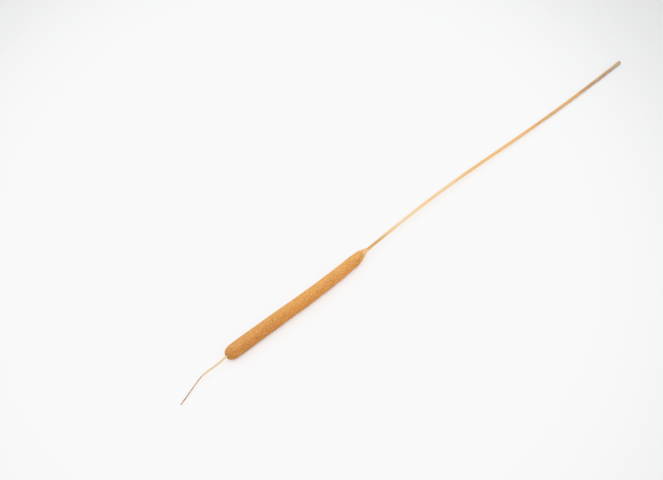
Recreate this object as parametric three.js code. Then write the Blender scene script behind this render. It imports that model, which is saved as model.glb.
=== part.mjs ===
// A dried cattail stalk, cut and lying down: stem, seed spike and tip axis.
// Millimetres, +Z up. +X runs from the tip towards the cut end of the stem.
// The origin is the middle of the footprint, on the surface it lies on.
import * as THREE from 'three';

// ---- driving constants -------------------------------------------------
const GAP = 0.3;             // clearance between neighbouring pieces
const SHIFT_X = -356.762;    // from distance along the chord to the row's X
const SHIFT_Y = -6.6805;     // from sideways offset to the row's Y

const SPIKE_START = 67.0;    // where the seed spike begins, along the chord
const SPIKE_LENGTH = 188.0;
const SPIKE_SIDES = 24;
const BELLY_HALF_ANGLE = 12.5;   // degrees: the flat that the spike lies on
const STEM_SIDES = 14;
const STEM_LENGTH = 458;      // last distance in the stem's profile
const TIP_SIDES = 10;
const STEM_END = 713.4;      // the cut face
const BUTT_RADIUS = 1.84;
const TIP_END_RADIUS = 0.66;

// The stalk's sideways course, seen from above: [distance along chord, offset].
const COURSE = [
  [64, 8.35], [86, 8.03], [106, 7.39], [126, 6.63], [146, 5.9], [166, 5.23],
  [186, 4.84], [206, 4.78], [226, 5.18], [246, 6.0], [256, 6.55], [270, 7.15],
  [300, 8.06], [330, 8.75], [360, 9.13], [390, 8.97], [420, 8.2], [450, 6.98],
  [480, 5.58], [510, 4.13], [540, 2.9], [570, 1.93], [600, 1.32], [630, 1.05],
  [660, 0.93], [690, 0.93], [713.4, 1.08],
];

// Radius of the seed spike from its tip end: [distance, radius].
const SPIKE_PROFILE = [
  [0.0, 1.9], [0.25, 3.1], [0.9, 4.35], [1.9, 5.4], [3.3, 6.27], [5.2, 6.92],
  [7.6, 7.29], [11, 7.45], [18, 7.5], [28, 7.48], [40, 7.45], [54, 7.42],
  [68, 7.38], [82, 7.3], [96, 7.22], [110, 7.14], [123, 7.06], [136, 6.97],
  [148, 6.82], [158, 6.65], [166, 6.5], [172, 6.42], [176, 6.34], [179, 6.22],
  [181.5, 6.05], [183.5, 5.83], [185.3, 5.55], [186.8, 5.22], [188.0, 4.85],
];

// Radius of the stem from the spike's base: [distance, radius].
const STEM_PROFILE = [
  [0.0, 4.45], [1.3, 4.28], [2.8, 3.98], [4.3, 3.6], [5.8, 3.16], [7.3, 2.68],
  [8.7, 2.28], [10.1, 2.02], [12, 1.87], [15, 1.81], [21, 1.79], [32, 1.79],
  [46, 1.8], [68, 1.8], [98, 1.81], [128, 1.82], [158, 1.84], [188, 1.86],
  [218, 1.87], [248, 1.88], [278, 1.88], [308, 1.88], [338, 1.88], [368, 1.87],
  [398, 1.86], [428, 1.85], [STEM_LENGTH, BUTT_RADIUS],
];

// The tip axis from the spike to its end: [chord, offset, height, radius].
const TIP_COURSE = [
  [66.7, 8.24, 7.3, 1.15], [62.2, 8.14, 7.12, 1.12], [56.8, 7.84, 6.75, 1.1],
  [49.4, 8.2, 6.15, 1.08], [42.6, 9.22, 5.35, 1.06], [38.6, 9.5, 4.85, 1.06],
  [36.0, 9.55, 4.5, 1.05], [33.2, 9.2, 4.1, 0.93], [29.0, 8.45, 3.5, 0.82],
  [25.1, 7.55, 2.95, 0.79], [16.7, 5.5, 1.9, 0.77], [8.0, 3.3, 1.05, 0.74],
  [3.5, 2.08, 0.78, 0.71],
  [0.3, 1.1, TIP_END_RADIUS * Math.cos(Math.PI / TIP_SIDES), TIP_END_RADIUS],
];

// ---- helpers -------------------------------------------------------------
function table(rows, s, column = 1) {
  if (s <= rows[0][0]) return rows[0][column];
  for (let i = 1; i < rows.length; i++) {
    if (s <= rows[i][0]) {
      const k = (s - rows[i - 1][0]) / (rows[i][0] - rows[i - 1][0]);
      return rows[i - 1][column] + k * (rows[i][column] - rows[i - 1][column]);
    }
  }
  return rows[rows.length - 1][column];
}

const plan = new THREE.CatmullRomCurve3(
  COURSE.map(([s, t]) => new THREE.Vector3(s, t, 0)), false, 'centripetal');

// The point of the plan course at chord distance s.
function offsetAt(s) {
  let lo = 0, hi = 1;
  for (let i = 0; i < 40; i++) {
    const mid = (lo + hi) / 2;
    if (plan.getPoint(mid).x < s) lo = mid; else hi = mid;
  }
  return plan.getPoint((lo + hi) / 2).y;
}

// A closed body of revolution, bent so that its axis follows stations.
// stations: [{ centre: Vector3, radius }], in order, with a flat cap at each end.
// The sections' corner angles are given in degrees, 0 sideways and 90 up.
function bentLathe(stations, angles) {
  const profile = [new THREE.Vector2(0, 0)];
  stations.forEach((st, i) => profile.push(new THREE.Vector2(st.radius, i)));
  profile.push(new THREE.Vector2(0, stations.length - 1));
  const sides = angles.length;
  const geometry = new THREE.LatheGeometry(profile, sides);
  const position = geometry.attributes.position;
  const rows = profile.length;
  const up = new THREE.Vector3(0, 0, 1);
  for (let side = 0; side <= sides; side++) {
    const a = THREE.MathUtils.degToRad(angles[side % sides]);
    for (let row = 0; row < rows; row++) {
      const index = side * rows + row;
      const at = Math.min(Math.max(row - 1, 0), stations.length - 1);
      const st = stations[at];
      const before = stations[Math.max(at - 1, 0)].centre;
      const after = stations[Math.min(at + 1, stations.length - 1)].centre;
      const along = after.clone().sub(before).normalize();
      const across = up.clone().cross(along).normalize();
      const rise = along.clone().cross(across).normalize();
      const radius = (row === 0 || row === rows - 1) ? 0 : st.radius;
      const p = st.centre.clone()
        .addScaledVector(across, radius * Math.cos(a))
        .addScaledVector(rise, radius * Math.sin(a));
      if (st.flat && radius > 0 && Math.abs(p.z) < 0.08) p.z = 0;
      position.setXYZ(index, p.x + SHIFT_X, p.y + SHIFT_Y, Math.max(p.z, 0));
    }
  }
  geometry.deleteAttribute('normal');
  geometry.deleteAttribute('uv');
  geometry.computeVertexNormals();
  return geometry;
}

// Even corner angles, with one side facing straight down.
function evenAngles(sides) {
  return Array.from({ length: sides }, (_, i) => -90 + (i + 0.5) * 360 / sides);
}

// Corner angles with a wider side, of the given half angle, facing straight down.
function bellyAngles(sides, half) {
  const rest = (360 - 2 * half) / (sides - 1);
  return Array.from({ length: sides }, (_, i) => -90 + half + i * rest);
}

// ---- seed spike ------------------------------------------------------------
const bodyRows = SPIKE_PROFILE.filter(([s]) => s >= 11 && s <= 166);
const lift = Math.cos(THREE.MathUtils.degToRad(BELLY_HALF_ANGLE));
// Height of the spike's axis: its belly lies flat, and its ends rise clear.
const axisHeight = (d) => table(bodyRows, d) * lift;

const spikeStations = SPIKE_PROFILE.map(([d, radius]) => {
  const s = SPIKE_START + d;
  return {
    centre: new THREE.Vector3(s, offsetAt(s), axisHeight(d)),
    radius,
    flat: d >= 11 && d <= 166,
  };
});
const spikeGeometry = bentLathe(spikeStations, bellyAngles(SPIKE_SIDES, BELLY_HALF_ANGLE));

// ---- stem ------------------------------------------------------------------
const spikeEnd = SPIKE_START + SPIKE_LENGTH;
const stemLength = STEM_END - spikeEnd - GAP;
const endHeight = axisHeight(SPIKE_LENGTH);
const buttHeight = BUTT_RADIUS * Math.cos(Math.PI / STEM_SIDES);
const stemStations = STEM_PROFILE.map(([d, radius]) => {
  const k = d / STEM_LENGTH;
  const s = spikeEnd + GAP + k * stemLength;
  // The stem leaves the spike level and comes down evenly to the surface.
  const ease = k * k * (3 - 2 * k) * 0.35 + k * 0.65;
  const z = endHeight + (buttHeight - endHeight) * ease;
  return { centre: new THREE.Vector3(s, offsetAt(s), z), radius, flat: d > 448 };
});
const stemGeometry = bentLathe(stemStations, evenAngles(STEM_SIDES));

// ---- tip axis ----------------------------------------------------------------
const tipStations = TIP_COURSE.map(([s, t, z, radius], i) => ({
  centre: new THREE.Vector3(i === 0 ? SPIKE_START - GAP : s, t, z),
  radius,
  flat: false,
})).reverse();
const tipGeometry = bentLathe(tipStations, evenAngles(TIP_SIDES));

// ---- the stalk -----------------------------------------------------------------
function piece(name, geometry, color, roughness) {
  const material = new THREE.MeshStandardMaterial({ color, roughness, metalness: 0 });
  const mesh = new THREE.Mesh(geometry, material);
  mesh.name = name;
  return mesh;
}

const stalk = new THREE.Group();
stalk.name = 'cattail_stalk';
stalk.add(piece('seed_spike', spikeGeometry, 0xc98f4d, 0.95));
stalk.add(piece('stem', stemGeometry, 0xdcb277, 0.6));
stalk.add(piece('tip_axis', tipGeometry, 0xd9b483, 0.75));

export default stalk;
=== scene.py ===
import math

import bpy
import numpy as np
from mathutils import Matrix, Vector


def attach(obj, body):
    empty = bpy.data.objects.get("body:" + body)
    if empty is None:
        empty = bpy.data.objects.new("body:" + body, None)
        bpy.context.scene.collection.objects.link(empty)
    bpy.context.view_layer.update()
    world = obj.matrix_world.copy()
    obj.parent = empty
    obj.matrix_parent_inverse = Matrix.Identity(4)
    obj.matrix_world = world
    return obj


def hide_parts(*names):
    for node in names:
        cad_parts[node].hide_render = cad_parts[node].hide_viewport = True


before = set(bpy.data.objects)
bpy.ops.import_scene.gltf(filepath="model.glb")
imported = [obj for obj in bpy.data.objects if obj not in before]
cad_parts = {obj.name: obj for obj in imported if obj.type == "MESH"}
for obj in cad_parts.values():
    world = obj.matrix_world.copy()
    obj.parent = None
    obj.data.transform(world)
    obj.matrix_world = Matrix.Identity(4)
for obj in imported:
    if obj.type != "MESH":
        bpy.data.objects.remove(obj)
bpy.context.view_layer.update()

MM = 0.001

# ---- numbers shared with the CAD -------------------------------------------
SHIFT_X, SHIFT_Y = -356.762, -6.6805
SPIKE_START, SPIKE_LENGTH = 67.0, 188.0
STEM_LENGTH = 458.0
BELLY_HALF_ANGLE = math.radians(12.5)
STEM_END = 713.4
BUTT_RADIUS = 1.84
GAP = 0.3
COURSE = [
    (64, 8.35), (86, 8.03), (106, 7.39), (126, 6.63), (146, 5.9), (166, 5.23),
    (186, 4.84), (206, 4.78), (226, 5.18), (246, 6.0), (256, 6.55), (270, 7.15),
    (300, 8.06), (330, 8.75), (360, 9.13), (390, 8.97), (420, 8.2), (450, 6.98),
    (480, 5.58), (510, 4.13), (540, 2.9), (570, 1.93), (600, 1.32), (630, 1.05),
    (660, 0.93), (690, 0.93), (713.4, 1.08),
]
SPIKE_PROFILE = [
    (0.0, 1.9), (0.25, 3.1), (0.9, 4.35), (1.9, 5.4), (3.3, 6.27), (5.2, 6.92),
    (7.6, 7.29), (11, 7.45), (18, 7.5), (28, 7.48), (40, 7.45), (54, 7.42),
    (68, 7.38), (82, 7.3), (96, 7.22), (110, 7.14), (123, 7.06), (136, 6.97),
    (148, 6.82), (158, 6.65), (166, 6.5), (172, 6.42), (176, 6.34), (179, 6.22),
    (181.5, 6.05), (183.5, 5.83), (185.3, 5.55), (186.8, 5.22), (188.0, 4.85),
]
STEM_PROFILE = [
    (0.0, 4.45), (1.3, 4.28), (2.8, 3.98), (4.3, 3.6), (5.8, 3.16), (7.3, 2.68),
    (8.7, 2.28), (10.1, 2.02), (12, 1.87), (15, 1.81), (21, 1.79), (32, 1.79),
    (46, 1.8), (68, 1.8), (98, 1.81), (128, 1.82), (158, 1.84), (188, 1.86),
    (218, 1.87), (248, 1.88), (278, 1.88), (308, 1.88), (338, 1.88), (368, 1.87),
    (398, 1.86), (428, 1.85), (458, 1.84),
]
TIP_COURSE = [
    (66.7, 8.24, 7.3, 1.15), (62.2, 8.14, 7.12, 1.12), (56.8, 7.84, 6.75, 1.1),
    (49.4, 8.2, 6.15, 1.08), (42.6, 9.22, 5.35, 1.06), (38.6, 9.5, 4.85, 1.06),
    (36.0, 9.55, 4.5, 1.05), (33.2, 9.2, 4.1, 0.93), (29.0, 8.45, 3.5, 0.82),
    (25.1, 7.55, 2.95, 0.79), (16.7, 5.5, 1.9, 0.77), (8.0, 3.3, 1.05, 0.74),
    (3.5, 2.08, 0.78, 0.71), (0.3, 1.1, 0.628, 0.66),
]


# ---- curves ------------------------------------------------------------------
def catmull(points, steps):
    """A centripetal Catmull-Rom curve through points, sampled steps times a span."""
    p = np.array(points, float)
    p = np.vstack([2 * p[0] - p[1], p, 2 * p[-1] - p[-2]])
    out = []
    for i in range(1, len(p) - 2):
        p0, p1, p2, p3 = p[i - 1], p[i], p[i + 1], p[i + 2]
        d0, d1, d2 = (np.linalg.norm(b - a) ** 0.5 for a, b in ((p0, p1), (p1, p2), (p2, p3)))
        t1 = ((p1 - p0) / d0 - (p2 - p0) / (d0 + d1) + (p2 - p1) / d1) * d1
        t2 = ((p2 - p1) / d1 - (p3 - p1) / (d1 + d2) + (p3 - p2) / d2) * d1
        t = np.linspace(0, 1, steps, endpoint=False)[:, None]
        out.append(p1 + t1 * t + (3 * (p2 - p1) - 2 * t1 - t2) * t ** 2
                   + (2 * (p1 - p2) + t1 + t2) * t ** 3)
    out.append(p[-2][None])
    return np.vstack(out)


def smooth_table(rows):
    """A smooth monotone curve through (x, y) rows, as a function."""
    x, y = np.array(rows, float).T
    h = np.diff(x)
    m = np.diff(y) / h
    t = np.zeros(len(x))
    for i in range(1, len(x) - 1):
        if m[i - 1] * m[i] > 0:
            w1, w2 = 2 * h[i] + h[i - 1], h[i] + 2 * h[i - 1]
            t[i] = (w1 + w2) / (w1 / m[i - 1] + w2 / m[i])
    t[0], t[-1] = m[0], m[-1]

    def f(q):
        q = np.clip(np.asarray(q, float), x[0], x[-1])
        i = np.clip(np.searchsorted(x, q, side="right") - 1, 0, len(x) - 2)
        k = (q - x[i]) / h[i]
        return ((1 + 2 * k) * (1 - k) ** 2 * y[i] + k * (1 - k) ** 2 * h[i] * t[i]
                + k * k * (3 - 2 * k) * y[i + 1] + k * k * (k - 1) * h[i] * t[i + 1])
    return f


plan = catmull(COURSE, 60)


def offset_at(s):
    return np.interp(s, plan[:, 0], plan[:, 1])


body_rows = [r for r in SPIKE_PROFILE if 11 <= r[0] <= 166]
body_d, body_r = np.array(body_rows).T


def spike_height(d):
    return np.interp(d, body_d, body_r) * math.cos(BELLY_HALF_ANGLE)


END_HEIGHT = float(spike_height(SPIKE_LENGTH))
BUTT_HEIGHT = BUTT_RADIUS * math.cos(math.pi / 14)
STEM_SPAN = STEM_END - SPIKE_START - SPIKE_LENGTH - GAP


def stem_height(d):
    k = np.clip(np.asarray(d, float) / STEM_LENGTH, 0, 1)
    return END_HEIGHT + (BUTT_HEIGHT - END_HEIGHT) * (k * k * (3 - 2 * k) * 0.35 + k * 0.65)


def spike_centre(d):
    s = SPIKE_START + np.asarray(d, float)
    return np.stack([s, offset_at(s), spike_height(d)], -1)


def stem_centre(d):
    d = np.asarray(d, float)
    s = SPIKE_START + SPIKE_LENGTH + GAP + d / STEM_LENGTH * STEM_SPAN
    return np.stack([s, offset_at(s), stem_height(d)], -1)


def frames(centre, d):
    """Centre, along, sideways and up directions of a course at distances d."""
    d = np.asarray(d, float)
    c = centre(d)
    along = centre(d + 0.5) - centre(d - 0.5)
    along /= np.linalg.norm(along, axis=-1, keepdims=True)
    side = np.cross(np.array([0.0, 0.0, 1.0]), along)
    side /= np.linalg.norm(side, axis=-1, keepdims=True)
    return c, along, side, np.cross(along, side)


def row_frame(p):
    """Millimetres on the course to metres in the row's frame."""
    return (p + np.array([SHIFT_X, SHIFT_Y, 0.0])) * MM


# ---- seeded noise --------------------------------------------------------------
def lattice(ix, iy, iz, seed):
    n = (ix.astype(np.int64) * 73856093) ^ (iy.astype(np.int64) * 19349663) \
        ^ (iz.astype(np.int64) * 83492791) ^ (seed * 2654435761)
    n = (n ^ (n >> 13)) & 0x7FFFFFFF
    n = (n * (n * n % 15731 + 789221) + 1376312589) & 0x7FFFFFFF
    n = (n ^ (n >> 11)) & 0x7FFFFFFF
    n = (n * 48271) & 0x7FFFFFFF
    return n / 0x3FFFFFFF - 1.0


def noise(p, seed):
    """Smooth noise from about -1 to 1 at points p, whose cells are 1 wide."""
    i = np.floor(p)
    f = p - i
    f = f * f * f * (f * (f * 6 - 15) + 10)
    i = i.astype(np.int64)
    out = np.zeros(p.shape[:-1])
    for a in (0, 1):
        for b in (0, 1):
            for c in (0, 1):
                w = ((f[..., 0] if a else 1 - f[..., 0])
                     * (f[..., 1] if b else 1 - f[..., 1])
                     * (f[..., 2] if c else 1 - f[..., 2]))
                out += w * lattice(i[..., 0] + a, i[..., 1] + b, i[..., 2] + c, seed)
    return out


def fractal(p, seed, octaves=3, gain=0.5):
    out, amp, total = 0, 1.0, 0.0
    for o in range(octaves):
        out = out + amp * noise(p * 2.03 ** o + 17.3 * o, seed + o)
        total += amp
        amp *= gain
    return out / total


# ---- meshes ----------------------------------------------------------------------
def make_mesh(name, verts, quads, tris, quad_uv, tri_uv, attributes, marks=None):
    """An object from arrays. verts are in metres; uv arrays are per face corner."""
    me = bpy.data.meshes.new(name)
    me.vertices.add(len(verts))
    me.vertices.foreach_set("co", np.ascontiguousarray(verts, np.float32).ravel())
    nq, nt = len(quads), len(tris)
    me.loops.add(nq * 4 + nt * 3)
    me.loops.foreach_set("vertex_index", np.concatenate(
        [np.asarray(quads, np.int32).ravel(), np.asarray(tris, np.int32).ravel()]))
    me.polygons.add(nq + nt)
    me.polygons.foreach_set("loop_start", np.concatenate(
        [np.arange(nq) * 4, nq * 4 + np.arange(nt) * 3]).astype(np.int32))
    me.polygons.foreach_set("use_smooth", np.ones(nq + nt, bool))
    if marks is not None:
        me.polygons.foreach_set("material_index", np.asarray(marks, np.int32))
    me.update(calc_edges=True)
    uv = me.uv_layers.new(name="OFBake")
    uv.data.foreach_set("uv", np.concatenate(
        [np.asarray(quad_uv, np.float32).reshape(-1), np.asarray(tri_uv, np.float32).reshape(-1)]))
    for key, values in attributes.items():
        values = np.ascontiguousarray(values, np.float32)
        if values.ndim == 2:
            a = me.attributes.new(key, "FLOAT_VECTOR", "POINT")
            a.data.foreach_set("vector", values.ravel())
        else:
            a = me.attributes.new(key, "FLOAT", "POINT")
            a.data.foreach_set("value", values)
    ob = bpy.data.objects.new(name, me)
    bpy.context.scene.collection.objects.link(ob)
    return ob


def tube_faces(rows, sides, strips, marks_from=None):
    """Quads of a tube, with a pole vertex after the last ring at each end, and its unwrap in strips."""
    i, j = np.meshgrid(np.arange(rows - 1), np.arange(sides), indexing="ij")
    i, j = i.ravel(), j.ravel()
    k = (j + 1) % sides
    quads = np.stack([i * sides + j, (i + 1) * sides + j, (i + 1) * sides + k, i * sides + k], -1)
    per = math.ceil((rows + 1) / strips)
    m = 0.03

    def place(row, col):
        strip = np.minimum(row // per, strips - 1)
        return strip, row - strip * per

    strip, local = place(i + 1, j)
    u0 = (strip + m + (1 - 2 * m) * j / sides) / strips
    u1 = (strip + m + (1 - 2 * m) * (j + 1) / sides) / strips
    v0 = 0.01 + 0.98 * local / per
    v1 = 0.01 + 0.98 * (local + 1) / per
    v1 = v0 + (v1 - v0)
    quad_uv = np.stack([np.stack([u0, v0], -1), np.stack([u0, v1], -1),
                        np.stack([u1, v1], -1), np.stack([u1, v0], -1)], 1)
    j = np.arange(sides)
    k = (j + 1) % sides
    first, last = rows * sides, rows * sides + 1
    tris = np.concatenate([
        np.stack([np.full(sides, first), j, k], -1),
        np.stack([np.full(sides, last), (rows - 1) * sides + k, (rows - 1) * sides + j], -1)])
    uv = []
    for row, flip in ((0, False), (rows, True)):
        s, local = place(np.array(row), None)
        a = (s + m + (1 - 2 * m) * j / sides) / strips
        b = (s + m + (1 - 2 * m) * (j + 1) / sides) / strips
        lo = np.full(sides, 0.01 + 0.98 * local / per)
        hi = np.full(sides, 0.01 + 0.98 * (local + 1) / per)
        if flip:
            uv.append(np.stack([np.stack([(a + b) / 2, hi], -1), np.stack([b, lo], -1), np.stack([a, lo], -1)], 1))
        else:
            uv.append(np.stack([np.stack([(a + b) / 2, lo], -1), np.stack([a, hi], -1), np.stack([b, hi], -1)], 1))
    return quads, tris, quad_uv, np.concatenate(uv)


def strands(points, radii, spin, grid_side=None):
    """Closed three-sided strands that end in a point. points is (n, k + 1, 3), radii (n, k)."""
    n, k1, _ = points.shape
    k = k1 - 1
    d = np.diff(points, axis=1)
    d = np.concatenate([d, d[:, -1:]], 1)
    t = d[:, :-1] / np.linalg.norm(d[:, :-1], axis=-1, keepdims=True)
    ref = np.where(np.abs(t[..., 2:3]) < 0.8, np.array([0.0, 0.0, 1.0]), np.array([1.0, 0.0, 0.0]))
    a = np.cross(t, ref)
    a /= np.linalg.norm(a, axis=-1, keepdims=True)
    b = np.cross(t, a)
    rings = []
    for side in range(3):
        w = spin[:, None, None] + side * 2 * math.pi / 3
        rings.append(points[:, :-1] + radii[..., None] * (np.cos(w) * a + np.sin(w) * b))
    ring = np.stack(rings, 2).reshape(n, k * 3, 3)
    verts = np.concatenate([ring, points[:, -1:]], 1).reshape(-1, 3)
    per = k * 3 + 1
    base = np.arange(n)[:, None] * per
    quads, tris = [], []
    for seg in range(k - 1):
        for side in range(3):
            q = (side + 1) % 3
            quads.append(base + np.array([seg * 3 + side, seg * 3 + q, seg * 3 + 3 + q, seg * 3 + 3 + side]))
    for side in range(3):
        q = (side + 1) % 3
        tris.append(base + np.array([(k - 1) * 3 + side, (k - 1) * 3 + q, k * 3]))
    tris.append(base + np.array([2, 1, 0]))
    quads = np.stack(quads, 1).reshape(-1, 4) if quads else np.zeros((0, 4), int)
    tris = np.stack(tris, 1).reshape(-1, 3)
    # one cell of the unwrap for each strand
    g = math.ceil(math.sqrt(n))
    cx, cy = (np.arange(n) % g) / g, (np.arange(n) // g) / g
    cell = lambda x, y: np.stack([cx + (0.06 + 0.88 * x) / g, cy + (0.06 + 0.88 * y) / g], -1)
    quad_uv, tri_uv = [], []
    for seg in range(k - 1):
        for side in range(3):
            x0, x1 = side / 4, (side + 1) / 4
            y0, y1 = seg / k, (seg + 1) / k
            quad_uv.append(np.stack([cell(x0, y0), cell(x1, y0), cell(x1, y1), cell(x0, y1)], 1))
    for side in range(3):
        x0, x1 = side / 4, (side + 1) / 4
        y0 = (k - 1) / k
        tri_uv.append(np.stack([cell(x0, y0), cell(x1, y0), cell((x0 + x1) / 2, 1)], 1))
    tri_uv.append(np.stack([cell(0.78, 0), cell(1, 0), cell(0.89, 0.6)], 1))
    quad_uv = np.stack(quad_uv, 1).reshape(-1, 4, 2) if quad_uv else np.zeros((0, 4, 2))
    tri_uv = np.stack(tri_uv, 1).reshape(-1, 3, 2)
    return verts, quads, tris, quad_uv, tri_uv, per


# ---- materials ---------------------------------------------------------------------
class Nodes:
    """A small helper that builds one material's node tree."""

    def __init__(self, name):
        self.mat = bpy.data.materials.new(name)
        self.mat.use_nodes = True
        self.tree = self.mat.node_tree
        self.tree.nodes.clear()
        self.out = self.add("ShaderNodeOutputMaterial")
        self.bsdf = self.add("ShaderNodeBsdfPrincipled")
        self.link(self.bsdf.outputs[0], self.out.inputs[0])

    def add(self, kind, **values):
        n = self.tree.nodes.new(kind)
        for key, value in values.items():
            setattr(n, key, value)
        return n

    def link(self, a, b):
        self.tree.links.new(a, b)

    def set(self, name, value):
        self.bsdf.inputs[name].default_value = value

    def attribute(self, name):
        return self.add("ShaderNodeAttribute", attribute_name=name)

    def scaled(self, vector, scale, shift=(0, 0, 0)):
        n = self.add("ShaderNodeMapping")
        n.inputs["Scale"].default_value = scale
        n.inputs["Location"].default_value = shift
        self.link(vector, n.inputs["Vector"])
        return n.outputs[0]

    def noise(self, vector, detail=3.0, rough=0.55, scale=1.0, distortion=0.0):
        n = self.add("ShaderNodeTexNoise")
        n.inputs["Scale"].default_value = scale
        n.inputs["Detail"].default_value = detail
        n.inputs["Roughness"].default_value = rough
        n.inputs["Distortion"].default_value = distortion
        self.link(vector, n.inputs["Vector"])
        return n.outputs["Fac"]

    def ramp(self, value, stops, mode="LINEAR"):
        n = self.add("ShaderNodeValToRGB")
        n.color_ramp.interpolation = mode
        while len(n.color_ramp.elements) < len(stops):
            n.color_ramp.elements.new(0.5)
        for e, (at, colour) in zip(n.color_ramp.elements, stops):
            e.position = at
            e.color = (*colour, 1.0) if len(colour) == 3 else colour
        self.link(value, n.inputs["Fac"])
        return n.outputs["Color"]

    def span(self, value, lo, hi, to_lo=0.0, to_hi=1.0):
        n = self.add("ShaderNodeMapRange")
        n.inputs["From Min"].default_value = lo
        n.inputs["From Max"].default_value = hi
        n.inputs["To Min"].default_value = to_lo
        n.inputs["To Max"].default_value = to_hi
        self.link(value, n.inputs["Value"])
        return n.outputs["Result"]

    def math(self, kind, a, b):
        n = self.add("ShaderNodeMath", operation=kind)
        for i, v in enumerate((a, b)):
            if isinstance(v, (int, float)):
                n.inputs[i].default_value = v
            else:
                self.link(v, n.inputs[i])
        return n.outputs[0]

    def mix(self, fac, a, b, blend="MIX"):
        n = self.add("ShaderNodeMix", data_type="RGBA", blend_type=blend)
        for socket, v in ((n.inputs["Factor"], fac), (n.inputs[6], a), (n.inputs[7], b)):
            if isinstance(v, (int, float)):
                socket.default_value = v
            elif isinstance(v, tuple):
                socket.default_value = (*v, 1.0)
            else:
                self.link(v, socket)
        return n.outputs[2]

    def axis(self, vector, which):
        n = self.add("ShaderNodeSeparateXYZ")
        self.link(vector, n.inputs[0])
        return n.outputs[which]

    def bump(self, height, strength, distance):
        n = self.add("ShaderNodeBump")
        n.inputs["Strength"].default_value = strength
        n.inputs["Distance"].default_value = distance
        self.link(height, n.inputs["Height"])
        self.link(n.outputs[0], self.bsdf.inputs["Normal"])


def spot(m, flow, centre, radius, soft):
    """1 inside a small round patch around centre on the straightened stalk, 0 outside."""
    n = m.add("ShaderNodeVectorMath", operation="DISTANCE")
    m.link(flow, n.inputs[0])
    n.inputs[1].default_value = centre
    return m.span(n.outputs["Value"], radius, radius + soft, 1.0, 0.0)


def down_material(name, light, sheen):
    """Packed seed down: camel, mottled with orange-brown grain, paler strands here and there."""
    m = Nodes(name)
    flow = m.attribute("flow").outputs["Vector"]
    tone = m.attribute("tone").outputs["Fac"]
    rise = m.attribute("rise").outputs["Fac"]
    painted_lit_side = m.attribute("painted_lit_side").outputs["Fac"]
    fine = m.noise(m.scaled(flow, (0.62, 0.70, 0.70)), detail=4.0, rough=0.66)
    blotch = m.noise(m.scaled(flow, (0.16, 0.3, 0.3), (5, 2, 9)), detail=2.5, rough=0.55)
    broad = m.noise(m.scaled(flow, (0.03, 0.09, 0.09), (1, 7, 3)), detail=2.0)
    camel = m.ramp(fine, [
        (0.35, tuple(light * c for c in (0.405, 0.199, 0.071))),
        (0.45, tuple(light * c for c in (0.529, 0.261, 0.093))),
        (0.54, tuple(light * c for c in (0.622, 0.307, 0.109))),
        (0.64, tuple(light * c for c in (0.738, 0.364, 0.129))),
    ])
    rust = m.span(blotch, 0.53, 0.70)
    camel = m.mix(m.math("MULTIPLY", rust, 0.46), camel, tuple(light * c for c in (0.50, 0.205, 0.062)))
    gold = m.span(broad, 0.47, 0.7, 0.0, 0.35)
    camel = m.mix(gold, camel, tuple(light * c for c in (0.635, 0.318, 0.100)))
    # painted highlight: the long side that faces the key light is painted paler, standing in for the light that falls
    # on it
    pale = m.ramp(fine, [(0.35, tuple(light * c for c in (0.488, 0.280, 0.105))),
                         (0.65, tuple(light * c for c in (0.815, 0.466, 0.174)))])
    camel = m.mix(m.span(painted_lit_side, 0.45, 1.0, 0.0, 0.85), camel, pale)
    # a finer grit, light and dark
    grit = m.noise(m.scaled(flow, (1.05, 1.15, 1.15), (3, 8, 4)), detail=1.5, rough=0.5)
    camel = m.mix(1.0, camel, m.ramp(grit, [(0.30, (0.80, 0.795, 0.79)), (0.50, (1.0, 1.0, 1.0)), (0.70, (1.18, 1.18, 1.17))]), "MULTIPLY")
    # the head is a little paler towards its base
    d = m.axis(flow, 0)
    along = m.ramp(m.span(d, 0, 188), [(0.0, (0.94, 0.94, 1.0)), (0.22, (0.95, 0.95, 1.0)), (0.42, (1.0, 1.01, 1.02)),
                                       (0.62, (1.05, 1.09, 1.12)), (1.0, (1.06, 1.12, 1.18))])
    camel = m.mix(1.0, camel, along, "MULTIPLY")
    # and pales in torn streaks where it ends
    torn = m.noise(m.scaled(flow, (0.13, 0.42, 0.42), (6, 3, 8)), detail=3.0, rough=0.6)
    torn = m.math("ADD", d, m.span(torn, 0.3, 0.7, -6.0, 6.0))
    camel = m.mix(m.span(torn, 181.5, 189.0, 0.0, 0.6), camel, tuple(light * c for c in (0.74, 0.47, 0.205)))
    # a paler ring where the bare tip comes out of it
    ring = spot(m, flow, (0.5, 0.0, 0.0), 1.5, 1.7)
    camel = m.mix(m.math("MULTIPLY", ring, 0.6), camel, tuple(light * c for c in (0.76, 0.52, 0.26)))
    # a small dark spot at the base, where the head meets the stem
    dark = spot(m, flow, (188.0, -4.0, 2.7), 0.45, 0.75)
    camel = m.mix(m.math("MULTIPLY", dark, 0.8), camel, (0.13, 0.06, 0.025))
    # single strands differ
    shade = m.ramp(tone, [(0.0, (0.66, 0.63, 0.60)), (0.25, (0.88, 0.87, 0.86)),
                          (0.75, (1.04, 1.045, 1.05)), (0.97, (1.14, 1.17, 1.21)), (1.0, (1.22, 1.38, 1.7))])
    camel = m.mix(1.0, camel, shade, "MULTIPLY")
    m.link(camel, m.bsdf.inputs["Base Color"])
    m.link(m.span(fine, 0.3, 0.7, 0.88, 0.98), m.bsdf.inputs["Roughness"])
    m.set("Specular IOR Level", 0.18)
    m.set("Sheen Weight", sheen)
    m.set("Sheen Roughness", 0.45)
    m.set("Sheen Tint", (1.0, 0.68, 0.36, 1.0))
    return m.mat


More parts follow.
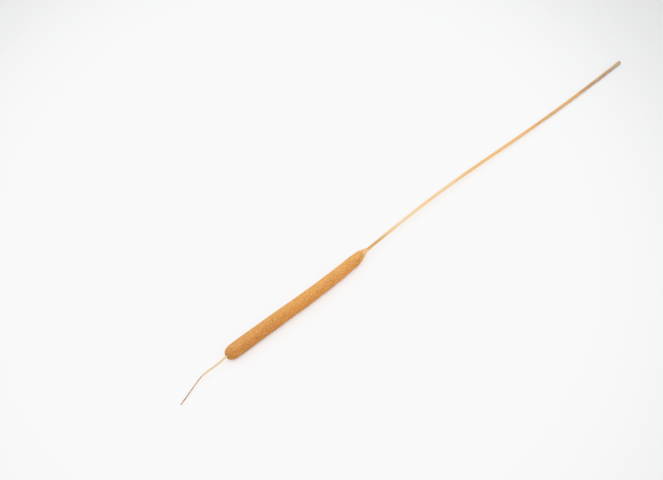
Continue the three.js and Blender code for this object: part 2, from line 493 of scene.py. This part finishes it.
def hair_material(name, pale, deep):
    """Loose pale hairs and fluff."""
    m = Nodes(name)
    flow = m.attribute("flow").outputs["Vector"]
    tone = m.attribute("tone").outputs["Fac"]
    vary = m.noise(m.scaled(flow, (0.9, 0.9, 0.9)), detail=2.0)
    fac = m.math("ADD", m.math("MULTIPLY", tone, 0.6), m.math("MULTIPLY", vary, 0.4))
    m.link(m.ramp(fac, [(0.2, deep), (0.75, pale)]), m.bsdf.inputs["Base Color"])
    m.link(m.span(vary, 0.3, 0.7, 0.75, 0.9), m.bsdf.inputs["Roughness"])
    m.set("Specular IOR Level", 0.25)
    m.set("Sheen Weight", 0.3)
    m.set("Sheen Roughness", 0.4)
    m.set("Sheen Tint", (1.0, 0.9, 0.72, 1.0))
    return m.mat


def frayed_tone(m, flow):
    """Fine light and dark in the skin of down over the flare."""
    return m.span(m.noise(m.scaled(flow, (0.9, 1.3, 1.3), (4, 4, 7)), detail=3.0, rough=0.6), 0.36, 0.64)


def stem_material():
    """Dry straw: tan at the neck, golden along the middle, greyer and mottled at the cut end."""
    m = Nodes("stem_straw")
    flow = m.attribute("flow").outputs["Vector"]
    d = m.axis(flow, 0)
    along = m.span(d, 8, 459)
    base = m.ramp(along, [
        (0.0, (0.39, 0.216, 0.085)), (0.013, (0.385, 0.216, 0.076)), (0.036, (0.350, 0.212, 0.086)),
        (0.066, (0.43, 0.277, 0.124)), (0.088, (0.54, 0.372, 0.183)), (0.12, (0.60, 0.450, 0.280)),
        (0.165, (0.62, 0.453, 0.260)), (0.21, (0.60, 0.415, 0.208)), (0.26, (0.575, 0.412, 0.232)),
        (0.36, (0.51, 0.305, 0.116)), (0.56, (0.51, 0.300, 0.112)), (0.63, (0.445, 0.250, 0.093)),
        (0.70, (0.36, 0.199, 0.070)), (0.77, (0.41, 0.225, 0.071)), (0.83, (0.335, 0.168, 0.058)),
        (0.875, (0.282, 0.153, 0.053)), (0.91, (0.254, 0.143, 0.065)), (0.94, (0.300, 0.195, 0.095)),
        (0.973, (0.280, 0.202, 0.094)), (1.0, (0.235, 0.160, 0.100)),
    ])
    streak = m.noise(m.scaled(flow, (0.018, 2.6, 2.6)), detail=3.0, rough=0.6)
    wide = m.noise(m.scaled(flow, (0.012, 0.55, 0.55), (3, 1, 4)), detail=2.0)
    fleck = m.noise(m.scaled(flow, (0.35, 2.2, 2.2), (8, 5, 2)), detail=3.0, rough=0.65)
    deeper = m.mix(1.0, base, (0.62, 0.50, 0.40), "MULTIPLY")
    paler = m.mix(1.0, base, (1.25, 1.36, 1.55), "MULTIPLY")
    base = m.mix(m.span(streak, 0.44, 0.66, 0.0, 0.75), base, deeper)
    base = m.mix(m.span(streak, 0.52, 0.36, 0.0, 0.7), base, paler)
    base = m.mix(m.span(wide, 0.5, 0.7, 0.0, 0.5), base, m.mix(1.0, base, (0.80, 0.70, 0.60), "MULTIPLY"))
    base = m.mix(m.span(fleck, 0.62, 0.74, 0.0, 0.6), base, (0.22, 0.12, 0.055))
    # brown and pinkish mottling towards the cut end
    patch = m.noise(m.scaled(flow, (0.055, 0.5, 0.5), (2, 9, 6)), detail=3.0, rough=0.6)
    late = m.span(d, 258, 408)
    base = m.mix(m.math("MULTIPLY", late, m.span(patch, 0.47, 0.64, 0.0, 0.65)), base, (0.235, 0.145, 0.088))
    base = m.mix(m.math("MULTIPLY", late, m.span(patch, 0.46, 0.3, 0.0, 0.5)), base, (0.40, 0.285, 0.172))
    # the flare under the head is pale and dull, with tan creases
    husk = m.noise(m.scaled(flow, (0.22, 1.1, 1.1), (7, 2, 5)), detail=3.0, rough=0.6)
    husk = m.ramp(husk, [(0.34, (0.355, 0.185, 0.060)), (0.47, (0.48, 0.268, 0.094)), (0.64, (0.62, 0.372, 0.148))])
    # on the upper side a skin of the brown down runs on over its start
    lean = m.add("ShaderNodeVectorMath", operation="DOT_PRODUCT")
    m.link(flow, lean.inputs[0])
    lean.inputs[1].default_value = (1.0, -0.38, -0.24)
    frayed = m.noise(m.scaled(flow, (0.45, 1.5, 1.5), (1, 6, 2)), detail=2.5, rough=0.6)
    frayed = m.math("ADD", lean.outputs["Value"], m.span(frayed, 0.3, 0.7, -0.8, 0.8))
    husk = m.mix(m.span(frayed, 1.5, 0.1, 0.0, 0.8), husk, m.mix(frayed_tone(m, flow), (0.50, 0.248, 0.082), (0.66, 0.36, 0.132)))
    base = m.mix(m.span(d, 11.0, 6.0), base, husk)
    # a small dark spot at the start of the stem, where it meets the head
    base = m.mix(spot(m, flow, (0.2, -3.6, 2.6), 0.3, 0.7), base, (0.16, 0.08, 0.035))
    m.link(base, m.bsdf.inputs["Base Color"])
    m.link(m.span(streak, 0.3, 0.7, 0.46, 0.68), m.bsdf.inputs["Roughness"])
    m.set("Specular IOR Level", 0.42)
    m.set("Sheen Weight", 0.08)
    fine = m.noise(m.scaled(flow, (0.05, 6.5, 6.5)), detail=3.0, rough=0.6)
    m.bump(fine, 0.35, 0.00012)
    return m.mat


def pith_material():
    """The cut face: grey-brown sponge."""
    m = Nodes("stem_cut_face")
    flow = m.attribute("flow").outputs["Vector"]
    cells = m.add("ShaderNodeTexVoronoi")
    cells.inputs["Scale"].default_value = 4.2
    m.link(flow, cells.inputs["Vector"])
    grain = m.noise(m.scaled(flow, (1.2, 1.2, 1.2)), detail=3.0)
    base = m.ramp(cells.outputs["Distance"], [(0.05, (0.13, 0.09, 0.058)), (0.30, (0.24, 0.175, 0.118)), (0.6, (0.33, 0.255, 0.18))])
    base = m.mix(m.span(grain, 0.4, 0.65, 0.0, 0.5), base, (0.20, 0.135, 0.085))
    m.link(base, m.bsdf.inputs["Base Color"])
    m.link(m.span(grain, 0.3, 0.7, 0.85, 0.97), m.bsdf.inputs["Roughness"])
    m.set("Specular IOR Level", 0.2)
    m.bump(cells.outputs["Distance"], 0.5, 0.0002)
    return m.mat


def tip_material():
    """Pale straw by the head, grey-brown and withered beyond the kink."""
    m = Nodes("tip_straw")
    flow = m.attribute("flow").outputs["Vector"]
    d = m.axis(flow, 0)   # distance from the head
    streak = m.noise(m.scaled(flow, (0.09, 3.4, 3.4)), detail=3.0, rough=0.6)
    wither = m.noise(m.scaled(flow, (0.5, 1.4, 1.4), (4, 4, 1)), detail=3.0, rough=0.65)
    pale = m.ramp(streak, [(0.3, (0.515, 0.398, 0.268)), (0.5, (0.422, 0.302, 0.188)), (0.7, (0.33, 0.212, 0.120))])
    grey = m.ramp(wither, [(0.3, (0.172, 0.111, 0.076)), (0.5, (0.266, 0.183, 0.130)), (0.72, (0.40, 0.295, 0.218))])
    ragged = m.math("ADD", d, m.span(wither, 0.3, 0.7, -3.0, 3.0))
    turn = m.ramp(m.span(ragged, 29.0, 47.0), [(0.0, (0, 0, 0)), (0.28, (0.55, 0.55, 0.55)), (0.6, (0.85, 0.85, 0.85)), (1.0, (1, 1, 1))])
    base = m.mix(turn, pale, grey)
    m.link(base, m.bsdf.inputs["Base Color"])
    m.link(m.span(wither, 0.3, 0.7, 0.62, 0.85), m.bsdf.inputs["Roughness"])
    m.set("Specular IOR Level", 0.35)
    m.set("Sheen Weight", 0.1)
    m.bump(wither, 0.35, 0.00012)
    return m.mat


def floor_material():
    """Pale matt paper, painted darker away from the middle as a painted falloff of light."""
    m = Nodes("pale_paper")
    at = m.add("ShaderNodeTexCoord").outputs["Object"]
    n = m.noise(m.scaled(at, (1.3, 1.3, 1.3)), detail=2.0)
    paper = m.ramp(n, [(0.3, (0.843, 0.845, 0.848)), (0.7, (0.853, 0.854, 0.856))])
    # painted shade: the paper is painted darker away from the middle, a painted falloff of light like a vignette
    across = m.add("ShaderNodeVectorMath", operation="DOT_PRODUCT")
    m.link(at, across.inputs[0])
    across.inputs[1].default_value = (0.684, -0.729, 0.0)
    deep = m.add("ShaderNodeVectorMath", operation="DOT_PRODUCT")
    m.link(at, deep.inputs[0])
    deep.inputs[1].default_value = (0.547, 0.513, 0.0)
    x = m.math("ADD", across.outputs["Value"], 0.139)
    y = deep.outputs["Value"]
    far = m.math("SQRT", m.math("ADD", m.math("MULTIPLY", x, x), m.math("MULTIPLY", y, y)), 0.0)
    painted_falloff = m.ramp(far, [(0.27, (1.0, 1.0, 1.0)), (0.31, (0.93, 0.93, 0.93)), (0.36, (0.76, 0.76, 0.76)),
                        (0.42, (0.58, 0.58, 0.58)), (0.48, (0.48, 0.48, 0.478)), (0.56, (0.43, 0.43, 0.427)),
                        (0.95, (0.42, 0.42, 0.416))])
    m.link(m.mix(1.0, paper, painted_falloff, "MULTIPLY"), m.bsdf.inputs["Base Color"])
    m.link(m.span(n, 0.3, 0.7, 0.85, 0.9), m.bsdf.inputs["Roughness"])
    m.set("Specular IOR Level", 0.1)
    return m.mat


# ---- seed head -----------------------------------------------------------------------
# The head's outline as one line: out of the dimple, over the dome, along, down the taper.
def offset_line(line, inwards):
    t = np.gradient(line, axis=0)
    t /= np.linalg.norm(t, axis=1, keepdims=True)
    return line - inwards * np.stack([-t[:, 1], t[:, 0]], -1)


def resample(line, step):
    u = np.concatenate([[0], np.cumsum(np.linalg.norm(np.diff(line, axis=0), axis=1))])
    n = max(2, int(round(u[-1] / step)) + 1)
    q = np.linspace(0, u[-1], n)
    return np.stack([np.interp(q, u, line[:, 0]), np.interp(q, u, line[:, 1])], -1)


rim = [(0.62, 1.3), (0.36, 1.36), (0.18, 1.55)]
base_rim = [(188.35, 4.62), (188.42, 4.4)]
outline = catmull(rim + [(d if d > 0 else 0.06, r) for d, r in SPIKE_PROFILE] + base_rim, 24)
PILE = 0.38     # depth of the down that is built strand by strand

skin = offset_line(outline, PILE)
keep = skin[:, 1] > 1.38
skin = skin[keep]
skin = skin[:np.argmax(skin[:, 0]) + 1]
skin = np.vstack([[(1.9, 0.03), (1.88, 0.6), (1.75, 1.0), (1.4, 1.22)], skin, [(187.7, 4.3), (187.0, 4.0), (186.6, 2.6), (186.5, 0.03)]])
skin = resample(skin, 0.36)
ROWS, SIDES = len(skin), 124
theta = (np.arange(SIDES) + 0.5) / SIDES * 2 * math.pi
tangent = np.gradient(skin, axis=0)
tangent /= np.linalg.norm(tangent, axis=1, keepdims=True)
nd, nr = -tangent[:, 1], tangent[:, 0]


def head_swell(d, ang):
    """Slow unevenness of the head's surface, in millimetres."""
    ring = np.stack([d / 21, 2.1 * np.cos(ang), 2.1 * np.sin(ang)], -1)
    near = np.stack([d / 5.5, 2.6 * np.cos(ang), 2.6 * np.sin(ang)], -1)
    return 0.13 * noise(ring, 11) + 0.07 * noise(near, 12)


def head_clump(flow):
    """Small clumps of the down, from about -1 to 1."""
    return fractal(flow / np.array([1.9, 1.6, 1.6]), 31, 3, 0.6)


def painted_lit_side_of(ang):
    """1 along the side of the head painted paler as a painted highlight from the key light, -1 opposite."""
    return np.cos(ang - math.radians(70))


def skew(d, ang):
    """The head's base ends a little askew: further along on its back and upper side."""
    k = np.clip((np.asarray(d, float) - 176) / 12, 0, 1)
    return d + 1.5 * k * k * (3 - 2 * k) * np.cos(ang - math.radians(32))


def head_point(d, r, ang, nd, nr, out):
    """Bends (d, r, angle) onto the course, moved out along the outline's normal."""
    d = skew(d, ang)
    c, along, side, up = frames(spike_centre, d)
    radial = np.cos(ang)[..., None] * side + np.sin(ang)[..., None] * up
    way = nd[..., None] * along + nr[..., None] * radial
    return c + r[..., None] * radial + out[..., None] * way, way, along, radial


D, A = np.meshgrid(skin[:, 0], theta, indexing="ij")
R = np.repeat(skin[:, 1:2], SIDES, 1)
ND, NR = np.repeat(nd[:, None], SIDES, 1), np.repeat(nr[:, None], SIDES, 1)
flow = np.stack([D, R * np.cos(A), R * np.sin(A)], -1)
lump = head_swell(D, A) + 0.16 * head_clump(flow) + 0.05 * noise(flow / 0.6, 41)
lump *= np.clip((R - 1.0) / 2.0, 0, 1)
P, way, along, radial = head_point(D, R, A, ND, NR, lump)
# the belly is pressed flat where it lies
P[..., 2] = np.where(P[..., 2] < 0.5, 0.15 + 0.35 * (np.maximum(P[..., 2], 0) / 0.5) ** 1.5, P[..., 2])
c_first, c_last = spike_centre(np.array([skin[0, 0], skin[-1, 0]]))
verts = np.vstack([P.reshape(-1, 3), c_first[None], c_last[None]])
flows = np.vstack([flow.reshape(-1, 3), [[skin[0, 0], 0, 0]], [[skin[-1, 0], 0, 0]]])
quads, tris, quv, tuv = tube_faces(ROWS, SIDES, 4)
rng = np.random.default_rng(7)
tone = 0.25 + 0.2 * rng.random(len(verts))
rise = np.concatenate([np.sin(A).ravel() * np.clip(np.abs(NR).ravel(), 0.3, 1), [0, 0]])
seed_head = make_mesh("seed_head", row_frame(verts), quads[:, ::-1], tris[:, ::-1], quv[:, ::-1], tuv[:, ::-1],
                      {"flow": flows, "tone": tone, "rise": rise, "painted_lit_side": painted_lit_side_of(np.concatenate([A.ravel(), [0, 0]]))})
# painted shade: the felt at the bottom of the pile gets the down's colours painted darker (0.85), a shaded copy of the
# down
seed_head.data.materials.append(down_material("seed_felt_painted_shade", 0.85, 0.2))
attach(seed_head, "root")
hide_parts("seed_spike")

# the down itself, strand by strand
SPACING = 0.262
fine_line = resample(outline[outline[:, 1] > 1.36], 0.05)
body_line = fine_line[:np.argmax(fine_line[:, 0]) + 1]
fine_t = np.gradient(fine_line, axis=0)
fine_t /= np.linalg.norm(fine_t, axis=1, keepdims=True)
u_all = np.arange(len(fine_line)) * 0.05
us, angs = [], []
for u in np.arange(SPACING / 2, u_all[-1], SPACING):
    r = np.interp(u, u_all, fine_line[:, 1])
    n = max(6, int(round(2 * math.pi * r / SPACING)))
    us.append(u + (rng.random(n) - 0.5) * SPACING * 1.1)
    angs.append((np.arange(n) + rng.random(n) * 1.0) / n * 2 * math.pi + rng.random() * 6)
us, angs = np.clip(np.concatenate(us), 0, u_all[-1]), np.concatenate(angs)
order = rng.permutation(len(us))
us, angs = us[order], angs[order]
dd, rr = np.interp(us, u_all, fine_line[:, 0]), np.interp(us, u_all, fine_line[:, 1])
fn_d, fn_r = -np.interp(us, u_all, fine_t[:, 1]), np.interp(us, u_all, fine_t[:, 0])
flow_s = np.stack([dd, rr * np.cos(angs), rr * np.sin(angs)], -1)
swell = head_swell(dd, angs) * np.clip((rr - 1.0) / 2.0, 0, 1)
clump = head_clump(flow_s)
reach = swell - 0.03 + 0.21 * clump + rng.normal(0, 0.05, len(dd))
root, way_s, along_s, radial_s = head_point(dd, rr, angs, fn_d, fn_r, swell - PILE - 0.12)
tipp, _, _, _ = head_point(dd, rr, angs, fn_d, fn_r, reach)
around_s = np.cross(along_s, radial_s)
lean_a = 0.16 * noise(flow_s / 1.1, 51) + rng.normal(0, 0.07, len(dd))
lean_b = 0.16 * noise(flow_s / 1.1, 52) + rng.normal(0, 0.07, len(dd)) - 0.05
tipp = tipp + lean_a[:, None] * around_s + lean_b[:, None] * along_s
low = root[:, 2] < 0.42
root[:, 2] = np.maximum(root[:, 2], 0.12)
press = tipp[:, 2] < 0.05
tipp[:, 2] = np.where(press, 0.012 + 0.05 * rng.random(len(dd)), tipp[:, 2])
tipp[:, 0] += np.where(press, rng.normal(0, 0.25, len(dd)), 0)
tipp[:, 1] += np.where(press, rng.normal(0, 0.25, len(dd)), 0)
width = 0.105 + 0.03 * rng.random(len(dd))
tone_s = rng.random(len(dd))
rise_s = np.sin(angs) * np.clip(np.abs(fn_r), 0.3, 1)
spin = rng.random(len(dd)) * 6.283
down_look = down_material("seed_down", 1.0, 0.28)
COATS = 3
for coat in range(COATS):
    pick = np.arange(coat, len(dd), COATS)
    v, q, t, quv, tuv, per = strands(np.stack([root[pick], tipp[pick]], 1), width[pick][:, None], spin[pick])
    low_v = v[:, 2] < 0.0
    v[low_v, 2] = 0.01
    ob = make_mesh("down_coat_%d" % (coat + 1), row_frame(v), q, t, quv, tuv, {
        "flow": np.repeat(flow_s[pick], per, 0), "tone": np.repeat(tone_s[pick], per),
        "rise": np.repeat(rise_s[pick], per), "painted_lit_side": np.repeat(painted_lit_side_of(angs[pick]), per)})
    ob.data.materials.append(down_look)
    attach(ob, "root")
    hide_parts("seed_spike")


def hairs(name, d, ang, out, length, radius, splay, forward, material, seed, curl=0.5, tones=None):
    """Loose curved hairs that start on the head's outline at d and ang."""
    g = np.random.default_rng(seed)
    n = len(d)
    i = np.clip(np.searchsorted(body_line[:, 0], d), 1, len(body_line) - 2)
    r = fine_line[i, 1]
    n_d, n_r = -fine_t[i, 1], fine_t[i, 0]
    p0, w, al, ra = head_point(d, r, ang, n_d, n_r, np.full(n, out) + head_swell(d, ang))
    ar = np.cross(al, ra)
    head_to = w * (1 - np.abs(forward))[:, None] + al * forward[:, None] \
        + ar * (g.normal(0, splay, n))[:, None] + al * (g.normal(0, splay, n))[:, None]
    head_to /= np.linalg.norm(head_to, axis=1, keepdims=True)
    turn = g.normal(0, 1, (n, 3))
    turn -= (turn * head_to).sum(1, keepdims=True) * head_to
    turn /= np.linalg.norm(turn, axis=1, keepdims=True)
    pts = [p0]
    for k in range(1, 4):
        t = k / 3
        pts.append(p0 + head_to * (length * t)[:, None] + turn * (curl * length * t * t)[:, None])
    pts = np.stack(pts, 1)
    pts[..., 2] = np.maximum(pts[..., 2], 0.03)
    rad = np.stack([radius, radius * 0.9, radius * 0.65], 1)
    v, q, t3, quv3, tuv3, per = strands(pts, rad, g.random(n) * 6.283)
    v[:, 2] = np.maximum(v[:, 2], 0.005)
    f = np.stack([d, r * np.cos(ang), r * np.sin(ang)], -1)
    tn = g.random(n) if tones is None else tones
    ob = make_mesh(name, row_frame(v), q, t3, quv3, tuv3, {
        "flow": np.repeat(f, per, 0), "tone": np.repeat(tn, per), "rise": np.repeat(np.sin(ang), per)})
    ob.data.materials.append(material)
    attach(ob, "root")
    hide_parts("seed_spike")
    return ob


# short loose hairs all over, a few pale tufts, and the ragged collar at the base
g = np.random.default_rng(21)
n = 5200
loose_d = 0.9 + 187.0 * g.random(n)
hairs("loose_hairs", loose_d, g.random(n) * 6.283, -0.1, 0.35 + 0.55 * g.random(n) ** 2, 0.03 + 0.018 * g.random(n),
      0.45, g.normal(0, 0.15, n), hair_material("loose_down", (0.72, 0.50, 0.25), (0.50, 0.27, 0.10)), 22, 0.35)
tufts = 36
td, ta = 4 + 176 * g.random(tufts), g.random(tufts) * 6.283
m_each = 6
n = tufts * m_each
fluff_d = np.repeat(td, m_each) + g.normal(0, 0.22, n)
fluff_a = np.repeat(ta, m_each) + g.normal(0, 0.032, n)
hairs("fluff_specks", fluff_d, fluff_a, -0.05, 0.22 + 0.4 * g.random(n), 0.035 + 0.02 * g.random(n),
      0.6, g.normal(0, 0.5, n).clip(-0.8, 0.8), hair_material("pale_fluff", (0.74, 0.51, 0.26), (0.62, 0.38, 0.16)), 23, 0.5)
n = 1500
col_d = 188.3 - 7.0 * g.random(n) ** 2.3
col_a = g.random(n) * 6.283
ragged = 0.75 + 0.55 * noise(np.stack([np.cos(col_a) * 2.2, np.sin(col_a) * 2.2, np.zeros(n)], -1), 61)
hairs("base_collar", col_d, col_a, -0.12, (0.5 + 1.3 * g.random(n)) * ragged, 0.045 + 0.035 * g.random(n),
      0.2, (0.74 + 0.2 * g.random(n)), hair_material("collar_down", (0.76, 0.49, 0.225), (0.62, 0.345, 0.128)), 24, 0.2)

# ---- stem --------------------------------------------------------------------------------
stem_radius = smooth_table(STEM_PROFILE)
STEM_SIDES = 76
stem_d = np.concatenate([[-1.55, -1.55, -1.5, -1.3], np.linspace(-0.9, 13, 36), np.linspace(13.5, 456.5, 540), np.linspace(456.7, 457.9, 9)])
stem_scale = np.concatenate([[0.02, 0.6, 0.93, 0.99], np.ones(585)])
ang = (np.arange(STEM_SIDES) + 0.5) / STEM_SIDES * 2 * math.pi
D, A = np.meshgrid(stem_d, ang, indexing="ij")
# the flare is askew, as the head's base is: it narrows later on its back and upper side
lag = 1.2 * np.clip((15 - D) / 7, 0, 1) * np.cos(A - math.radians(32))
base_r = stem_radius(D - lag)
flare = np.clip((base_r - 1.9) / 1.6, 0, 1)
ridge = np.zeros_like(D)
for n_k, amp, seed in ((7, 0.010, 71), (11, 0.010, 72), (15, 0.011, 73), (19, 0.010, 74), (24, 0.008, 75)):
    drift = 1.3 * noise(np.stack([D / 75, np.zeros_like(D), np.full_like(D, seed * 0.37)], -1), seed)
    fade = 0.7 + 0.6 * noise(np.stack([D / 40, np.cos(A) * 0.8, np.sin(A) * 0.8], -1), seed + 20)
    ridge += amp * fade * np.cos(n_k * A + drift * 2 + seed)
wave = 0.035 * noise(np.stack([D / 16, np.cos(A) * 0.7, np.sin(A) * 0.7], -1), 81) \
    + 0.03 * np.cos(2 * (A - D / 160))
pit = noise(np.stack([D / 2.2, np.cos(A) * 3, np.sin(A) * 3], -1), 82)
wave -= 0.03 * np.clip(pit - 0.45, 0, 1)
# shallow creases run down the flare
crease = 0.075 * noise(np.stack([D / 6.0, np.cos(A) * 4.6, np.sin(A) * 4.6], -1), 84) \
    + 0.05 * noise(np.stack([D / 2.4, np.cos(A) * 2.2, np.sin(A) * 2.2], -1), 85)
R = (base_r + ridge + wave + flare * crease) * stem_scale[:, None]
c, along, side, up = frames(stem_centre, D)
radial = np.cos(A)[..., None] * side + np.sin(A)[..., None] * up
P = c + R[..., None] * radial
flow = np.stack([D, R * np.cos(A), R * np.sin(A)], -1)
# the cut: a rough rind edge, a pithy inside that has shrunk back
cut_rows, cut_flow = [], []
slope = 0.10 * np.cos(ang - 0.8)
rough = 0.07 * noise(np.stack([np.cos(ang) * 4, np.sin(ang) * 4, np.zeros(STEM_SIDES)], -1), 91)
last_r = R[-1]
end_c, end_al, end_side, end_up = (x[-1, 0] for x in frames(stem_centre, D))
for scale, depth, bump_size in ((0.985, 0.16, 0.2), (0.95, 0.18, 0.6), (0.88, 0.17, 1.0), (0.80, 0.14, 1.0),
                                (0.75, -0.02, 0.9), (0.70, -0.16, 0.9), (0.60, -0.20, 1.2), (0.48, -0.22, 1.3),
                                (0.36, -0.20, 1.3), (0.24, -0.21, 1.2), (0.12, -0.2, 1.0), (0.03, -0.2, 0.5)):
    rr_ = last_r * scale
    grainy = 0.07 * bump_size * noise(np.stack([rr_ * np.cos(ang) / 0.28, rr_ * np.sin(ang) / 0.28, np.full(STEM_SIDES, scale)], -1), 92)
    ahead = depth + slope * scale + rough * bump_size * 0.5 + grainy
    ahead = np.minimum(ahead, 0.34)
    pt = end_c + ahead[:, None] * end_al + (rr_ * np.cos(ang))[:, None] * end_side + (rr_ * np.sin(ang))[:, None] * end_up
    cut_rows.append(pt)
    cut_flow.append(np.stack([np.full(STEM_SIDES, STEM_LENGTH) + ahead, rr_ * np.cos(ang), rr_ * np.sin(ang)], -1))
P = np.concatenate([P, np.stack(cut_rows)], 0)
flow = np.concatenate([flow, np.stack(cut_flow)], 0)
rows = P.shape[0]
P[..., 2] = np.maximum(P[..., 2], 0.002)
v = np.vstack([P.reshape(-1, 3), stem_centre(np.array([-1.55])), P[-1].mean(0)[None]])
f = np.vstack([flow.reshape(-1, 3), [[0, 0, 0]], [[STEM_LENGTH, 0, 0]]])
quads, tris, quv, tuv = tube_faces(rows, STEM_SIDES, 6)
face_row = quads[:, 0] // STEM_SIDES
marks = np.concatenate([np.where(face_row >= rows - 12, 1, 0), np.zeros(STEM_SIDES), np.ones(STEM_SIDES)])
stem = make_mesh("straw_stem", row_frame(v), quads[:, ::-1], tris[:, ::-1], quv[:, ::-1], tuv[:, ::-1], {"flow": f}, marks)
stem.data.materials.append(stem_material())
stem.data.materials.append(pith_material())
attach(stem, "root")
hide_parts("stem")

# ---- tip axis -------------------------------------------------------------------------------
tip_line = catmull([(68.6, 8.26, 7.33, 1.12)] + TIP_COURSE, 40)
length = np.concatenate([[0], np.cumsum(np.linalg.norm(np.diff(tip_line[:, :3], axis=0), axis=1))])
TIP_LEN = length[-1]
tq = np.linspace(0, TIP_LEN, 330)
tip_c = np.stack([np.interp(tq, length, tip_line[:, k]) for k in range(3)], -1)
tip_r = np.interp(tq, length, tip_line[:, 3])
wig = np.stack([np.zeros(330), noise(np.stack([tq / 9, np.zeros(330), np.zeros(330)], -1), 101),
                noise(np.stack([tq / 9, np.ones(330) * 5.5, np.zeros(330)], -1), 102)], -1)
tip_c = tip_c + 0.10 * wig * np.clip((tq - 4) / 10, 0, 1)[:, None] * np.clip((TIP_LEN - tq) / 6, 0, 1)[:, None]
t = np.gradient(tip_c, axis=0)
t /= np.linalg.norm(t, axis=1, keepdims=True)
side = np.cross(np.array([0, 0, 1.0]), t)
side /= np.linalg.norm(side, axis=1, keepdims=True)
up = np.cross(t, side)
TS = 36
ang = (np.arange(TS) + 0.5) / TS * 2 * math.pi
D, A = np.meshgrid(tq - 1.9, ang, indexing="ij")
wither = np.clip((D - 27) / 8, 0, 1)
R = np.repeat(tip_r[:, None], TS, 1)
R = R * (1 + (0.05 + 0.07 * wither) * np.cos(3 * A + 1.5 * noise(np.stack([D / 14, D * 0, D * 0], -1), 103))
         + 0.04 * np.cos(7 * A + D / 9) + (0.06 + 0.10 * wither) * noise(np.stack([D / 1.6, np.cos(A) * 1.6, np.sin(A) * 1.6], -1), 104))
taper = np.clip((TIP_LEN - tq) / 0.5, 0, 1) ** 0.5
R *= np.maximum(taper, 0.12)[:, None]
R[0] *= 0.3
P = tip_c[:, None] + R[..., None] * (np.cos(A)[..., None] * side[:, None] + np.sin(A)[..., None] * up[:, None])
P[..., 2] = np.maximum(P[..., 2], 0.004)
flow = np.stack([D, R * np.cos(A), R * np.sin(A)], -1)
v = np.vstack([P.reshape(-1, 3), tip_c[:1], tip_c[-1:] + t[-1:] * 0.02])
f = np.vstack([flow.reshape(-1, 3), [[0, 0, 0]], [[TIP_LEN - 1.9, 0, 0]]])
quads, tris, quv, tuv = tube_faces(330, TS, 4)
tip = make_mesh("bare_tip", row_frame(v), quads[:, ::-1], tris[:, ::-1], quv[:, ::-1], tuv[:, ::-1], {"flow": f})
tip_look = tip_material()
tip.data.materials.append(tip_look)
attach(tip, "root")
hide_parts("tip_axis")

# withered stubs of the fallen flowers, beyond the kink
g = np.random.default_rng(111)
n = 620
at = 30 + (TIP_LEN - 1.9 - 31.5) * g.random(n)
i = np.clip(np.searchsorted(tq - 1.9, at), 0, 329)
a0 = g.random(n) * 6.283
out = np.cos(a0)[:, None] * side[i] + np.sin(a0)[:, None] * up[i]
p0 = tip_c[i] + out * (tip_r[i] * 0.85)[:, None]
to = out + t[i] * g.uniform(0.3, 1.6, n)[:, None] + g.normal(0, 0.3, (n, 3))
to /= np.linalg.norm(to, axis=1, keepdims=True)
ln = 0.18 + 0.42 * g.random(n) ** 2
pts = np.stack([p0, p0 + to * (ln * 0.55)[:, None] + g.normal(0, 0.02, (n, 3)), p0 + to * ln[:, None] + t[i] * (ln * 0.25)[:, None]], 1)
pts[..., 2] = np.maximum(pts[..., 2], 0.03)
rad = np.stack([0.075 + 0.05 * g.random(n), 0.05 + 0.03 * g.random(n)], 1)
v, q, t3, quv3, tuv3, per = strands(pts, rad, g.random(n) * 6.283)
v[:, 2] = np.maximum(v[:, 2], 0.004)
f = np.stack([at, tip_r[i] * np.cos(a0), tip_r[i] * np.sin(a0)], -1)
stubs = make_mesh("tip_stubs", row_frame(v), q, t3, quv3, tuv3, {"flow": np.repeat(f, per, 0)})
stubs.data.materials.append(tip_look)
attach(stubs, "root")
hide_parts("tip_axis")

# ---- surface, light and camera -------------------------------------------------------------------
me = bpy.data.meshes.new("surface")
S = 9.0
me.from_pydata([(-S, -S, 0), (S, -S, 0), (S, S, 0), (-S, S, 0)], [], [(0, 1, 2, 3)])
surface = bpy.data.objects.new("surface", me)
bpy.context.scene.collection.objects.link(surface)
me.materials.append(floor_material())

world = bpy.data.worlds.new("studio")
bpy.context.scene.world = world
world.use_nodes = True
back = world.node_tree.nodes["Background"]
back.inputs["Color"].default_value = (0.985, 0.99, 1.0, 1.0)
back.inputs["Strength"].default_value = 1.83


def area_light(name, place, target, size, power, colour=(1, 1, 1)):
    data = bpy.data.lights.new(name, "AREA")
    data.shape = "SQUARE"
    data.size = size
    data.energy = power
    data.color = colour
    ob = bpy.data.objects.new(name, data)
    bpy.context.scene.collection.objects.link(ob)
    ob.location = place
    ob.rotation_mode = "QUATERNION"
    ob.rotation_quaternion = (Vector(target) - Vector(place)).to_track_quat("-Z", "Y")
    ob.visible_camera = False
    return ob


area_light("fill", (0.35, -1.35, 0.95), (0.0, 0.0, 0.0), 1.6, 6.2, (1.0, 0.99, 0.97))
area_light("key", (-0.35, 0.45, 1.75), (-0.1, 0.0, 0.0), 1.5, 12.2, (1.0, 0.985, 0.96))

right = Vector((0.68448, -0.72903, 0.0))
ahead = Vector((0.51550, 0.48400, -0.70711)).normalized()
upward = right.cross(ahead)
lens = bpy.data.cameras.new("view")
lens.lens = 71.40
lens.sensor_width = 36.0
lens.sensor_fit = "HORIZONTAL"
lens.shift_x, lens.shift_y = -0.00075, 0.00075
lens.clip_start, lens.clip_end = 0.01, 50.0
camera = bpy.data.objects.new("view", lens)
bpy.context.scene.collection.objects.link(camera)
camera.matrix_world = Matrix((
    (right.x, upward.x, -ahead.x, -0.810786),
    (right.y, upward.y, -ahead.y, -0.6251895),
    (right.z, upward.z, -ahead.z, 0.97227),
    (0, 0, 0, 1)))
bpy.context.scene.camera = camera
bpy.context.scene.view_settings.view_transform = "Khronos PBR Neutral"
